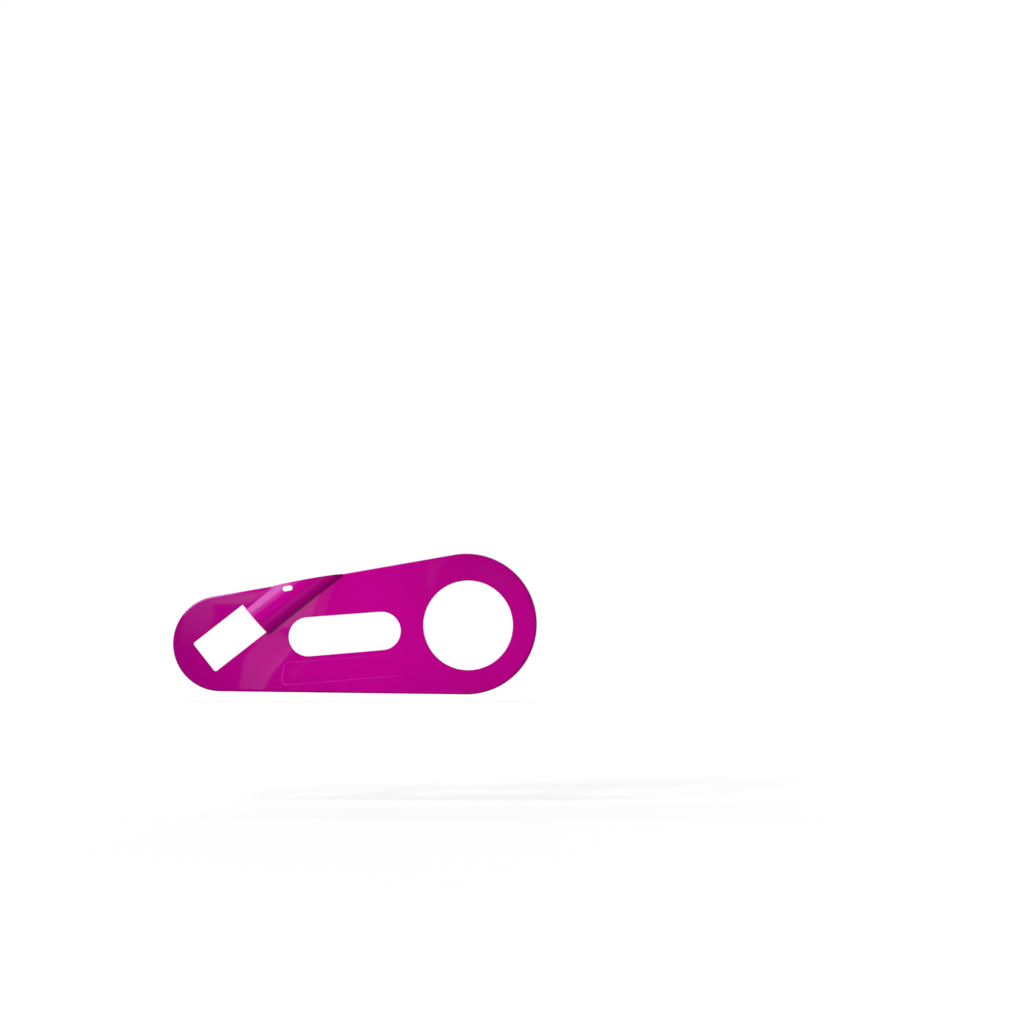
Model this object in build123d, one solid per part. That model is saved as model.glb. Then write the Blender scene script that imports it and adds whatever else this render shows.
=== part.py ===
from build123d import *
from math import acos, cos, radians, sin, tan
import os

# Bicycle chain guard, 16 inch child's size: one injection-moulded polypropylene tray.
# Sizes are in millimetres. The large round opening's axis is the Y axis, +X is forward, +Z is up,
# and the outer face lies in the plane Y = 0 and looks along -Y.

# Outline: a large round nose and a smaller round tail, joined by their tangents,
# with the nose centre a little behind and above the large opening's axis
nose_radius = 86.5
tail_radius = 58.5
centre_distance = 303.0
guard_tilt = 4.56
nose_back = 2.2
nose_up = 1.5

# Section: one wall, its outer edge turned back into a rim that opens by the mould's draft
wall = 2.2
rim_depth = 20.0
rim_draft = 1.5
edge_radius = 3.5

# Large round opening in the nose, on the Y axis
crank_radius = 55.0

# Window between the two runs of the chain, tapered, on the guard's long axis:
# the centres of its round ends are measured back from the nose centre
window_front_at = 104.5
window_front_radius = 23.5
window_rear_at = 195.0
window_rear_radius = 24.0

# Rounding of the front edges of the large opening and the window
opening_edge_radius = 1.0

# Tunnel: a half-round arch in the same wall, rising from its mouth to the top edge,
# with the mouth a little out of square, and the end at the top edge leaning out over it
stay_angle = 38.0
mouth_x = -259.8
mouth_z = 5.8
mouth_skew = 3.6
tunnel_radius = 21.7
tunnel_height = 20.0
tunnel_draft = 0.8
tunnel_end_lean = 6.0

# Cut-out in the face below the mouth, with its sides above and below the tunnel's axis
cutout_length = 79.0
cutout_above_stay = 26.0
cutout_below_stay = 18.4
cutout_corner_radius = 3.0

# Oblong screw hole through the tunnel's upper flank: it runs along the top edge,
# and its centre is measured up from the tunnel's axis and down from that edge
screw_hole_above_stay = 7.6
screw_hole_below_edge = 5.5
screw_hole_length = 12.4
screw_hole_width = 6.0

# Clear film label with slanting ends, bare, stuck on the face below the window:
# its rear end is measured back from the nose centre, its top edge down from the window
label_length = 154.4
label_height = 28.0
label_film = 0.15
label_slant = 13.5
label_corner_radius = 6.5
label_rear_at = 230.3
label_below_window = 5.1

# Cutters run this far past the walls that they open
overrun = 5.0


def rising(angle):
    """Direction forward and up by an angle, parallel to the outer face."""
    return Vector(cos(radians(angle)), 0, sin(radians(angle)))


guard_axis = rising(guard_tilt)
stay_axis = rising(stay_angle)
back = Vector(0, 1, 0)
mouth = Plane(origin=(mouth_x, 0, mouth_z), z_dir=rising(stay_angle + mouth_skew))


def guard_plane(depth):
    """Plane at a depth behind the outer face: origin at the nose centre, X forward, Y down."""
    return Plane(origin=(-nose_back, depth, nose_up), x_dir=guard_axis, z_dir=back)


def tangent_side(front_radius, rear_radius, distance):
    """Direction from the centres of two circles on the long axis to their upper tangent."""
    spread = acos((front_radius - rear_radius) / distance)
    return Vector(-cos(spread), -sin(spread))


def two_circles(front_at, front_radius, rear_at, rear_radius):
    """Outline of two circles on the guard's long axis and the tangents that join them."""
    above = tangent_side(front_radius, rear_radius, rear_at - front_at)
    below = Vector(above.X, -above.Y)
    front = Vector(-front_at, 0)
    rear = Vector(-rear_at, 0)
    top = Line(rear + above * rear_radius, front + above * front_radius)
    bottom = Line(front + below * front_radius, rear + below * rear_radius)
    tip = front + (front_radius, 0)
    nose_top = RadiusArc(top @ 1, tip, -front_radius)
    nose_bottom = RadiusArc(tip, bottom @ 0, -front_radius)
    tail = ThreePointArc(bottom @ 1, rear - (rear_radius, 0), top @ 0)
    return make_face([top, nose_top, nose_bottom, bottom, tail])


def through(sketch):
    """A prism right through the guard, past its rim and its tunnel."""
    return extrude(sketch, tunnel_height + rim_depth + overrun, both=True)


def tray(inset, depth):
    """The tray's solid form, inset from its outer surface, from its face back to a depth."""
    outline = two_circles(0, nose_radius - inset, centre_distance, tail_radius - inset)
    body = extrude(guard_plane(inset) * outline, depth - inset, taper=-rim_draft)
    face_edges = body.faces().sort_by(Axis.Y)[0].edges()
    return fillet(face_edges, edge_radius - inset)


def tunnel(inset, depth):
    """The tunnel's solid form, inset from its outer surface: an arch whose legs run back."""
    radius = tunnel_radius - inset + overrun * tan(radians(tunnel_draft))
    axis_depth = tunnel_radius - tunnel_height
    legs = depth - axis_depth
    start = mouth.origin + back * axis_depth - stay_axis * overrun
    section = Plane(origin=start, x_dir=back.cross(stay_axis), z_dir=stay_axis)
    crown = Circle(radius) - Pos(0, radius) * Rectangle(2 * radius, 2 * radius)
    arch = crown + Pos(0, legs / 2) * Rectangle(2 * radius, legs)
    body = extrude(section * arch, centre_distance / 2, taper=tunnel_draft)
    return split(body, bisect_by=mouth, keep=Keep.TOP)


def shell():
    """The tray and the tunnel as one wall, open at the back, at the mouth and at the top edge."""
    outline = two_circles(0, nose_radius, centre_distance, tail_radius)
    face = Plane(origin=guard_plane(0).origin, x_dir=guard_axis, z_dir=-back)
    leaning = extrude(face * outline, tunnel_height + overrun, taper=-tunnel_end_lean)
    trim = through(guard_plane(0) * outline) + leaning
    outer = tray(0, rim_depth) + (tunnel(0, rim_depth / 2) & trim)
    inner = tray(wall, rim_depth + overrun) + tunnel(wall, rim_depth + overrun)
    return outer - inner


def cutout():
    """Oblong cut-out in line with the tunnel, up to the mouth, rounded at its far corners."""
    length = cutout_length + overrun
    sketch = Rectangle(length, cutout_above_stay + cutout_below_stay)
    sketch = fillet(sketch.vertices().group_by(Axis.X)[0], cutout_corner_radius)
    face = Plane(origin=mouth.origin, x_dir=stay_axis, z_dir=-back)
    centre = Pos(overrun - length / 2, (cutout_above_stay - cutout_below_stay) / 2)
    return split(through(face * centre * sketch), bisect_by=mouth, keep=Keep.BOTTOM)


def screw_hole():
    """Oblong hole cut straight back: on a line beside the tunnel's axis, up to near the top edge."""
    face = guard_plane(0)
    side = tangent_side(nose_radius, tail_radius, centre_distance)
    outward = face.from_local_coords(side) - face.origin
    start = mouth.origin + stay_axis.cross(back) * screw_hole_above_stay
    to_edge = nose_radius - screw_hole_below_edge - (start - face.origin).dot(outward)
    centre = start + stay_axis * (to_edge / stay_axis.dot(outward))
    place = Plane(origin=centre, x_dir=back.cross(outward), z_dir=-back)
    return through(place * SlotOverall(screw_hole_length, screw_hole_width))


def chain_guard():
    """The moulded guard: shell, cut-out, screw hole, large round opening and window."""
    guard = shell() - cutout() - screw_hole()
    guard -= through(Plane.XZ * Circle(crank_radius))
    window = two_circles(window_front_at, window_front_radius, window_rear_at, window_rear_radius)
    guard -= through(guard_plane(0) * window)
    face = guard.faces().filter_by(Axis.Y).sort_by(SortBy.AREA)[-2:].sort_by(Axis.Y)[0]
    return fillet(face.inner_wires().edges(), opening_edge_radius)


def clear_label():
    """The film: a slanting oblong with rounded corners, lying on the face."""
    slant = label_height * tan(radians(label_slant))
    corners = Polyline(
        (slant / 2, 0),
        (slant / 2 + label_length, 0),
        (label_length - slant / 2, label_height),
        (-slant / 2, label_height),
        close=True,
    )
    sketch = make_face(corners)
    sketch = fillet(sketch.vertices(), label_corner_radius)
    corner = Pos(-label_rear_at, window_rear_radius + label_below_window)
    return extrude(guard_plane(0) * corner * sketch, -label_film)


os.makedirs("parts", exist_ok=True)
export_step(chain_guard(), "parts/chain_guard.step")
export_step(clear_label(), "parts/clear_label.step")
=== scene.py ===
from math import cos, pi, radians, sin, tan

import bpy
import numpy as np
from mathutils import Matrix, Vector


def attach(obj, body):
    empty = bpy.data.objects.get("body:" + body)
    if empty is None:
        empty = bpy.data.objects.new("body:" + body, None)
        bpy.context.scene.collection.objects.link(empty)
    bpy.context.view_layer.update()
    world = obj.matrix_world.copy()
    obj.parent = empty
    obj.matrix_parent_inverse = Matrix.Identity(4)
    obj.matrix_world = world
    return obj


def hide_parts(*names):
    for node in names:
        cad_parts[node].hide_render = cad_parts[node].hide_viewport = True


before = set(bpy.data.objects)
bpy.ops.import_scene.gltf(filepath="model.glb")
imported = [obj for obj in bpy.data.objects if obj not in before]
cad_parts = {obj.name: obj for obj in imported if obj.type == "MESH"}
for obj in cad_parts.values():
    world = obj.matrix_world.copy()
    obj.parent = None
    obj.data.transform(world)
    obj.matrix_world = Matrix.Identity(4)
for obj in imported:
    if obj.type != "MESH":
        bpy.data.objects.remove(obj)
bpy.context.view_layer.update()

# Guard: the tray with its rim, tunnel and openings, one moulding of magenta polypropylene.
# The steel of the mould was polished, so the face is glossy; the plate is thin and large,
# so it cooled a little wavy. It is the CAD solid itself, with its material.


def linear(hex_colour):
    """Linear red, green, blue and full alpha of an sRGB hex value."""
    srgb = np.array([int(hex_colour[i:i + 2], 16) for i in (1, 3, 5)]) / 255
    rgb = np.where(srgb <= 0.04045, srgb / 12.92, ((srgb + 0.055) / 1.055) ** 2.4)
    return (*rgb.tolist(), 1.0)


def node(tree, kind, inputs=(), **settings):
    """Adds a node, sets its properties, and sets or links its input sockets."""
    made = tree.nodes.new(kind)
    for name, value in settings.items():
        setattr(made, name, value)
    for socket, value in dict(inputs).items():
        if isinstance(value, bpy.types.NodeSocket):
            tree.links.new(value, made.inputs[socket])
        else:
            made.inputs[socket].default_value = value
    return made


MM = 0.001
WAVE_SPACING = 90
WAVE_HEIGHT = 0.12
PEEL_SPACING = 5
PEEL_HEIGHT = 0.001
PIGMENT_SPACING = 60


def per_metre(size_mm):
    """Texture scale whose features are about this many millimetres apart."""
    return 1 / (size_mm * MM)


def moulded_polypropylene():
    """Magenta polypropylene from a polished mould: a deep, nearly even colour under a clear gloss,
    whose reflections the plate's slow waves and a fine orange peel bend a little."""
    material = bpy.data.materials.new("moulded_polypropylene")
    material.use_nodes = True
    tree = material.node_tree
    tree.nodes.clear()
    place = node(tree, "ShaderNodeTexCoord").outputs["Object"]
    waves = node(tree, "ShaderNodeTexNoise", {
        "Vector": place, "Scale": per_metre(WAVE_SPACING), "Detail": 1.0, "Roughness": 0.4,
    })
    peel = node(tree, "ShaderNodeTexNoise", {
        "Vector": place, "Scale": per_metre(PEEL_SPACING), "Detail": 2.0, "Roughness": 0.5,
    })
    wavy = node(tree, "ShaderNodeBump", {
        "Strength": 1.0, "Distance": WAVE_HEIGHT * MM, "Height": waves.outputs["Fac"],
    })
    surface = node(tree, "ShaderNodeBump", {
        "Strength": 1.0, "Distance": PEEL_HEIGHT * MM, "Height": peel.outputs["Fac"],
        "Normal": wavy.outputs["Normal"],
    })
    pigment = node(tree, "ShaderNodeTexNoise", {
        "Vector": place, "Scale": per_metre(PIGMENT_SPACING), "Detail": 4.0, "Roughness": 0.55,
    })
    colour = node(tree, "ShaderNodeMix", {
        "Factor": pigment.outputs["Fac"], "A": linear("#b40083"), "B": linear("#bc0089"),
    }, data_type="RGBA")
    gloss = node(tree, "ShaderNodeMapRange", {
        "Value": peel.outputs["Fac"], "To Min": 0.022, "To Max": 0.034,
    })
    shader = node(tree, "ShaderNodeBsdfPrincipled", {
        "Base Color": colour.outputs["Result"], "Roughness": gloss.outputs["Result"],
        "IOR": 1.49, "Normal": surface.outputs["Normal"],
    })
    node(tree, "ShaderNodeOutputMaterial", {"Surface": shader.outputs["BSDF"]})
    return material


TUNNEL_ANGLE = 38.0
TUNNEL_MOUTH = (-259.8, 1.7, 5.8)
TUNNEL_DRAFT = 0.8
TUNNEL_REACH = 22.0
CONE_MATCH = 0.95
ALONG_TUNNEL = Vector((cos(radians(TUNNEL_ANGLE)), 0, sin(radians(TUNNEL_ANGLE))))


def round_tunnel():
    """Modifier that gives the tunnel the normals of its cone: away from its axis, and leaning
    forward by the draft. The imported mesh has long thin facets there, whose own normals break up
    the highlight. Points further off, or whose normal is not near the cone's, keep theirs."""
    tree = bpy.data.node_groups.new("round_tunnel", "GeometryNodeTree")
    tree.interface.new_socket("Geometry", in_out="INPUT", socket_type="NodeSocketGeometry")
    tree.interface.new_socket("Geometry", in_out="OUTPUT", socket_type="NodeSocketGeometry")
    solid = node(tree, "NodeGroupInput").outputs[0]
    place = node(tree, "GeometryNodeInputPosition").outputs[0]
    own = node(tree, "GeometryNodeInputNormal").outputs["Normal"]
    mouth = Vector(TUNNEL_MOUTH) * MM
    from_mouth = node(tree, "ShaderNodeVectorMath", {0: place, 1: mouth}, operation="SUBTRACT")
    on_axis = node(tree, "ShaderNodeVectorMath", {
        0: from_mouth.outputs[0], 1: ALONG_TUNNEL,
    }, operation="PROJECT")
    outward = node(tree, "ShaderNodeVectorMath", {
        0: from_mouth.outputs[0], 1: on_axis.outputs[0],
    }, operation="SUBTRACT")
    radial = node(tree, "ShaderNodeVectorMath", {0: outward.outputs[0]}, operation="NORMALIZE")
    leaning = node(tree, "ShaderNodeVectorMath", {
        0: radial.outputs[0], 1: ALONG_TUNNEL * tan(radians(TUNNEL_DRAFT)),
    }, operation="ADD")
    cone = node(tree, "ShaderNodeVectorMath", {0: leaning.outputs[0]}, operation="NORMALIZE")
    facing = node(tree, "ShaderNodeVectorMath", {
        0: own, 1: cone.outputs[0],
    }, operation="DOT_PRODUCT")
    side = node(tree, "ShaderNodeMath", {0: facing.outputs["Value"]}, operation="SIGN")
    turned = node(tree, "ShaderNodeVectorMath", {
        0: cone.outputs[0], "Scale": side.outputs[0],
    }, operation="SCALE")
    near = node(tree, "ShaderNodeMath", {0: facing.outputs["Value"]}, operation="ABSOLUTE")
    reach = node(tree, "ShaderNodeVectorMath", {0: outward.outputs[0]}, operation="LENGTH")
    aligned = node(tree, "FunctionNodeCompare", {
        0: near.outputs[0], 1: CONE_MATCH,
    }, operation="GREATER_THAN")
    within = node(tree, "FunctionNodeCompare", {
        0: reach.outputs["Value"], 1: TUNNEL_REACH * MM,
    }, operation="LESS_THAN")
    chosen = node(tree, "FunctionNodeBooleanMath", {0: aligned.outputs[0], 1: within.outputs[0]})
    normal = node(tree, "GeometryNodeSwitch", {
        "Switch": chosen.outputs[0], "False": own, "True": turned.outputs[0],
    }, input_type="VECTOR")
    shaded = node(tree, "GeometryNodeSetMeshNormal", mode="FREE", domain="POINT")
    tree.links.new(solid, shaded.inputs["Mesh"])
    tree.links.new(normal.outputs[0], shaded.inputs["Custom Normal"])
    node(tree, "NodeGroupOutput", {0: shaded.outputs[0]})
    return tree


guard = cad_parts["chain_guard"]
guard.data.materials.clear()
guard.data.materials.append(moulded_polypropylene())
guard.modifiers.new("round_tunnel", "NODES").node_group = round_tunnel()

# Label: a clear film with slanting ends and rounded corners, stuck on the face below the window.
# It is bare. Only its cut edge shows: the light it catches is painted on as a faint lighter pink
# line, plainest at the rear end and fading out towards the front one.

GUARD_TILT = 4.56
NOSE_CENTRE = (-2.2, 1.5)
LABEL_LENGTH = 154.4
LABEL_HEIGHT = 28.0
LABEL_FILM = 0.15
LABEL_SLANT = 13.5
LABEL_CORNER = 6.5
LABEL_REAR_AT = 230.3
LABEL_TOP = 29.1
EDGE_ROLL = 0.12
EDGE_WIDTH = 1.0
CORNER_POINTS = 9
# Painted highlight on the film's cut edge: how strongly it shows at these places along the film,
# from the rear end.
EDGE_PLACES = [0, 8, LABEL_LENGTH - 8, LABEL_LENGTH - 3]
EDGE_HIGHLIGHT_SHOWS = [1, 0.5, 0.4, 0]
FILM_COVER = 0.0004
# How much of the face the painted edge highlight covers.
EDGE_HIGHLIGHT_COVER = 0.65


def film_rings():
    """Three closed rings of points round the film: its outline on the face, the same line a little
    further in and one film's thickness up, and the inner border of the painted edge highlight.
    Each corner is an arc round the corner of an inner oblong, and each ring has its own arc
    radius. With them, how strongly the painted highlight on the cut edge shows at each point, from
    the rear end to the front one."""
    lean = radians(LABEL_SLANT)
    ends = np.array([LABEL_CORNER / cos(lean), LABEL_LENGTH - LABEL_CORNER / cos(lean)])
    levels = np.array([LABEL_CORNER, LABEL_HEIGHT - LABEL_CORNER])
    along = ends[[0, 1, 1, 0]]
    down = levels[[0, 0, 1, 1]]
    centres = np.stack([along + (LABEL_HEIGHT / 2 - down) * tan(lean), down], -1)
    start = np.array([pi + lean, -pi / 2, lean, pi / 2])
    sweep = np.array([pi / 2 - lean, pi / 2 + lean, pi / 2 - lean, pi / 2 + lean])
    angle = start[:, None] + sweep[:, None] * np.linspace(0, 1, CORNER_POINTS)
    ray = np.stack([np.cos(angle), np.sin(angle)], -1)
    radius = LABEL_CORNER - np.array([0, EDGE_ROLL, EDGE_WIDTH])
    rings = centres[None, :, None, :] + radius[:, None, None, None] * ray[None]
    rings = rings.reshape(3, -1, 2)
    ahead = rings[..., 0] - LABEL_REAR_AT
    under = rings[..., 1] + LABEL_TOP
    tilt = radians(GUARD_TILT)
    lift = np.broadcast_to(np.array([0, -LABEL_FILM, -LABEL_FILM])[:, None], ahead.shape)
    points = np.stack([
        NOSE_CENTRE[0] + ahead * cos(tilt) + under * sin(tilt),
        lift,
        NOSE_CENTRE[1] + ahead * sin(tilt) - under * cos(tilt),
    ], -1)
    return points * MM, np.interp(rings[..., 0], EDGE_PLACES, EDGE_HIGHLIGHT_SHOWS)


def clear_film():
    """Clear polyester film: all but invisible, but for its cut edge, where the light the edge
    catches is painted on as a lighter pink colour, as strongly as the attribute says."""
    material = bpy.data.materials.new("clear_film")
    material.use_nodes = True
    tree = material.node_tree
    tree.nodes.clear()
    edge = node(tree, "ShaderNodeAttribute", attribute_name="edge").outputs["Fac"]
    # The cut edge is painted a lighter pink, standing in for the light it catches; the rest of the
    # film is all but clear.
    cover = node(tree, "ShaderNodeMapRange", {
        "Value": edge, "To Min": FILM_COVER, "To Max": EDGE_HIGHLIGHT_COVER,
    })
    shader = node(tree, "ShaderNodeBsdfPrincipled", {
        "Base Color": linear("#ff48d6"), "Roughness": 0.1, "IOR": 1.49,
        "Alpha": cover.outputs["Result"],
    })
    node(tree, "ShaderNodeOutputMaterial", {"Surface": shader.outputs["BSDF"]})
    return material


points, edge_highlight = film_rings()
count = points.shape[1]
this = np.arange(count)
after = (this + 1) % count
band = np.stack([this, this + count, after + count, after], -1)
faces = np.concatenate([band, band + count]).tolist() + [(this[::-1] + 2 * count).tolist()]
mesh = bpy.data.meshes.new("label_film")
mesh.from_pydata(points.reshape(-1, 3).tolist(), [], faces)
# Only the outline and the ring just in from it carry the painted edge highlight.
edge_highlight = (edge_highlight * np.array([1, 1, 0])[:, None]).ravel().astype(np.float32)
mesh.attributes.new("edge", "FLOAT", "POINT").data.foreach_set("value", edge_highlight)
mesh.materials.append(clear_film())
film = bpy.data.objects.new("label_film", mesh)
bpy.context.scene.collection.objects.link(film)
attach(film, "root")
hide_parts("clear_label")

# Floor and background: a pale matt floor below the guard, and a white room all round. Rays from
# the camera see both white, and so do those that a mirror or glass sends on towards the back.
# The floor is white but for the guard's own soft shadow on it.

FLOOR_LEVEL = -0.23
FLOOR_HALF = 4.0
FLOOR_GLOW = 0.9
ROOM_GLOW = 0.02


def seen_by_camera(tree):
    """Sockets of the kind of ray, and one that is 1 for rays from the camera, straight or through
    glass."""
    rays = node(tree, "ShaderNodeLightPath").outputs
    return rays, node(tree, "ShaderNodeMath", {
        0: rays["Is Camera Ray"], 1: rays["Is Transmission Ray"],
    }, operation="MAXIMUM").outputs[0]


material = bpy.data.materials.new("pale_floor")
material.use_nodes = True
tree = material.node_tree
tree.nodes.clear()
rays, seen = seen_by_camera(tree)
glow = node(tree, "ShaderNodeMath", {0: seen, 1: FLOOR_GLOW}, operation="MULTIPLY")
shader = node(tree, "ShaderNodeBsdfPrincipled", {
    "Base Color": linear("#dcdcdc"), "Roughness": 0.8,
    "Emission Color": (1, 1, 1, 1), "Emission Strength": glow.outputs[0],
})
node(tree, "ShaderNodeOutputMaterial", {"Surface": shader.outputs["BSDF"]})
corners = np.array([(-1, -1), (1, -1), (1, 1), (-1, 1)]) * FLOOR_HALF
mesh = bpy.data.meshes.new("floor")
mesh.from_pydata([(x, y, FLOOR_LEVEL) for x, y in corners.tolist()], [], [(0, 1, 2, 3)])
mesh.materials.append(material)
floor = bpy.data.objects.new("floor", mesh)
floor.visible_glossy = False
floor.is_shadow_catcher = True
bpy.context.scene.collection.objects.link(floor)

world = bpy.data.worlds.new("white_room")
bpy.context.scene.world = world
world.use_nodes = True
tree = world.node_tree
tree.nodes.clear()
rays, seen = seen_by_camera(tree)
aim = node(tree, "ShaderNodeTexCoord").outputs["Generated"]
depth = node(tree, "ShaderNodeSeparateXYZ", {"Vector": aim}).outputs["Y"]
behind = node(tree, "ShaderNodeMapRange", {
    "Value": depth, "From Min": 0.8, "From Max": 0.97,
}, interpolation_type="SMOOTHSTEP").outputs["Result"]
mirrored = node(tree, "ShaderNodeMath", {
    0: rays["Is Glossy Ray"], 1: behind,
}, operation="MULTIPLY").outputs[0]
white = node(tree, "ShaderNodeMath", {0: seen, 1: mirrored}, operation="MAXIMUM").outputs[0]
dim = node(tree, "ShaderNodeMapRange", {"Value": behind, "To Min": ROOM_GLOW, "To Max": 1.0})
room = node(tree, "ShaderNodeBackground", {
    "Color": (1, 1, 1, 1), "Strength": dim.outputs["Result"],
})
background = node(tree, "ShaderNodeBackground", {"Color": (1, 1, 1, 1), "Strength": 1.0})
mixed = node(tree, "ShaderNodeMixShader", {
    "Fac": white, 1: room.outputs[0], 2: background.outputs[0],
})
node(tree, "ShaderNodeOutputWorld", {"Surface": mixed.outputs[0]})

# Lamps: a light in front and to the upper left, with a small one for the nose, a long soft box at
# the upper left and a dim strip at the lower right that the tunnel mirrors, and the even light of
# the room from the front and the back.

Y = Vector((0, 1, 0))
UPPER_LEFT = Vector((-sin(radians(TUNNEL_ANGLE)), 0, cos(radians(TUNNEL_ANGLE))))
TUNNEL = Vector((-0.22, 0, 0.036))
FACE_MIDDLE = Vector((-0.125, 0, -0.01))
NOSE_FRONT = Vector((0.11, 0, -0.02))
FRONT_ANGLE = 29.0
STRIP_ANGLE = 48.0
FRONT_DISTANCE = 1.5
BOX_DISTANCE = 1.0
STRIP_DISTANCE = 0.38


def lamp(name, aim, towards, distance, size, brightness,
         fade=1.0, tint="#ffffff", glossy=True, spread=180):
    """Area lamp off in a direction from a point, which it faces, with its width along the tunnel:
    the brightness of its surface fades to a share of it from its near to its far long edge."""
    across = ALONG_TUNNEL
    up = towards.cross(across)
    data = bpy.data.lights.new(name, "AREA")
    data.shape = "RECTANGLE"
    data.size, data.size_y = size
    data.energy = brightness * pi * size[0] * size[1]
    data.color = linear(tint)[:3]
    data.spread = radians(spread)
    data.use_nodes = True
    tree = data.node_tree
    tree.nodes.clear()
    place = node(tree, "ShaderNodeNewGeometry").outputs["Parametric"]
    part = node(tree, "ShaderNodeSeparateXYZ", {"Vector": place}).outputs["Y"]
    level = node(tree, "ShaderNodeMapRange", {"Value": part, "To Min": 1.0, "To Max": fade})
    glow = node(tree, "ShaderNodeEmission", {"Strength": level.outputs["Result"]})
    node(tree, "ShaderNodeOutputLight", {"Surface": glow.outputs[0]})
    made = bpy.data.objects.new(name, data)
    made.matrix_world = Matrix.Translation(aim + towards * distance) @ Matrix(
        (across, up, towards)).transposed().to_4x4()
    made.visible_camera = False
    made.visible_glossy = glossy
    bpy.context.scene.collection.objects.link(made)


front = UPPER_LEFT * sin(radians(FRONT_ANGLE)) - Y * cos(radians(FRONT_ANGLE))
lower_right = -UPPER_LEFT * sin(radians(STRIP_ANGLE)) - Y * cos(radians(STRIP_ANGLE))
lamp("front_light", FACE_MIDDLE, front, FRONT_DISTANCE, (0.15, 0.15), 5.5,
     glossy=False, spread=26.3)
lamp("nose_light", NOSE_FRONT, front, FRONT_DISTANCE, (0.1, 0.1), 1.0,
     glossy=False, spread=11.4)
lamp("soft_box", TUNNEL + Y * 0.17, UPPER_LEFT, BOX_DISTANCE, (0.8, 1.34), 4.6,
     fade=0.35, tint="#d8d6ff")
lamp("soft_box_wing", TUNNEL - Y * 1.2, UPPER_LEFT, BOX_DISTANCE, (0.8, 1.4), 0.02,
     fade=70.0, tint="#dedcff")
lamp("low_strip", TUNNEL - ALONG_TUNNEL * 0.0125, lower_right, STRIP_DISTANCE, (0.14, 0.19), 0.12)

ROOM_WIDTH = 170


def room_light(name, brightness, turn, tint="#ffffff"):
    """Sun as wide as a wall of the room, turned about X from straight down, with no glare."""
    data = bpy.data.lights.new(name, "SUN")
    data.energy = brightness
    data.color = linear(tint)[:3]
    data.angle = radians(ROOM_WIDTH)
    made = bpy.data.objects.new(name, data)
    made.rotation_euler = (radians(turn), 0, 0)
    made.visible_glossy = False
    made.visible_camera = False
    bpy.context.scene.collection.objects.link(made)


room_light("room_front", 0.6, 90, tint="#fff0d2")
room_light("room_back", 1.3, -90)

# Cards: white boards in front of the face, out of the camera's sight, that throw no shadow. The
# glossy face mirrors them as the pale fields beside the tunnel, on the tail and on the nose, and
# the narrow slats as faint streaks.

CAMERA_AT = Vector((0.0539, -6.99, 0.1393))
CARD_DISTANCE = 1.0
CARD_GAP = 0.001


def card(name, brightness, corners, distance=CARD_DISTANCE):
    """White card that the face mirrors to the camera at these places (X, Z in mm) on it: each
    corner is on the ray from the camera to that place, turned round by the face. The brightness
    is one value, or one for each corner."""
    material = bpy.data.materials.new(name)
    material.use_nodes = True
    tree = material.node_tree
    tree.nodes.clear()
    level = node(tree, "ShaderNodeAttribute", attribute_name="brightness").outputs["Fac"]
    glow = node(tree, "ShaderNodeEmission", {"Strength": level})
    node(tree, "ShaderNodeOutputMaterial", {"Surface": glow.outputs[0]})
    eye = np.array([CAMERA_AT.x, CAMERA_AT.z])
    places = eye + (np.array(corners) * MM - eye) * (1 - distance / CAMERA_AT.y)
    mesh = bpy.data.meshes.new(name)
    points = np.insert(places, 1, -distance, axis=1)
    mesh.from_pydata(points.tolist(), [], [list(range(len(corners)))])
    levels = np.broadcast_to(np.float32(brightness), len(corners))
    mesh.attributes.new("brightness", "FLOAT", "POINT").data.foreach_set("value", levels)
    mesh.materials.append(material)
    made = bpy.data.objects.new(name, mesh)
    made.visible_camera = False
    made.visible_diffuse = False
    made.visible_shadow = False
    bpy.context.scene.collection.objects.link(made)


card("card_tail_top", 0.73, [
    (-344, 26), (-323, 36), (-280, 48), (-225, 60), (-267, 27), (-312, 27), (-316, 30)])
card("card_tail_side", [0, 0.3, 0.33, 0.4, 0.36, 0], [
    (-360, -30), (-349, 14), (-335, 31), (-316, 30), (-310, 16), (-322, -30)])
card("card_below", 0.37, [
    (-285, -94), (-276, -40), (-252, -10), (-235, -6), (-221, -15), (-215, -30), (-244, -65),
    (-259, -94)])
card("card_below_edge", 0.55, [
    (-224, -28), (-215, -30), (-244, -65), (-259, -94), (-269, -94), (-253, -62),
], CARD_DISTANCE - CARD_GAP)
card("card_beside", 0.75, [
    (-243, -6), (-235, -5), (-221, -3), (-190, 14), (-183, 37), (-181, 43), (-186, 40)])
card("card_beside_slat", 0.4, [(-187, 11), (-184, 11), (-173, 43), (-176, 43)])
card("card_beside_slat_2", 0.4, [(-181, 11), (-178, 11), (-165, 48), (-168, 48)])
card("card_low_slat", 0.2, [(-220, -66), (-217, -67), (-199, -49), (-195, -44), (-202, -46)])
card("card_nose", 0.14, [
    (-49, 43), (-54, 56), (-47, 78), (-34, 85), (-27, 83), (-40, 66), (-44, 43)])
card("card_nose_2", 0.1, [(12, 73), (22, 73), (54, 51), (49, 41), (29, 53)])

# Camera: far off on a long lens, square to the face and a little above and to the right of the
# guard, which therefore stands low and to the left in the frame, as in the photograph.

camera = bpy.data.objects.new("camera", bpy.data.cameras.new("camera"))
camera.data.lens = 200
camera.data.sensor_width = 36
camera.data.clip_end = 100
camera.location = CAMERA_AT
camera.rotation_euler = (radians(90), 0, 0)
bpy.context.scene.collection.objects.link(camera)
bpy.context.scene.camera = camera
bpy.context.scene.view_settings.view_transform = "Standard"
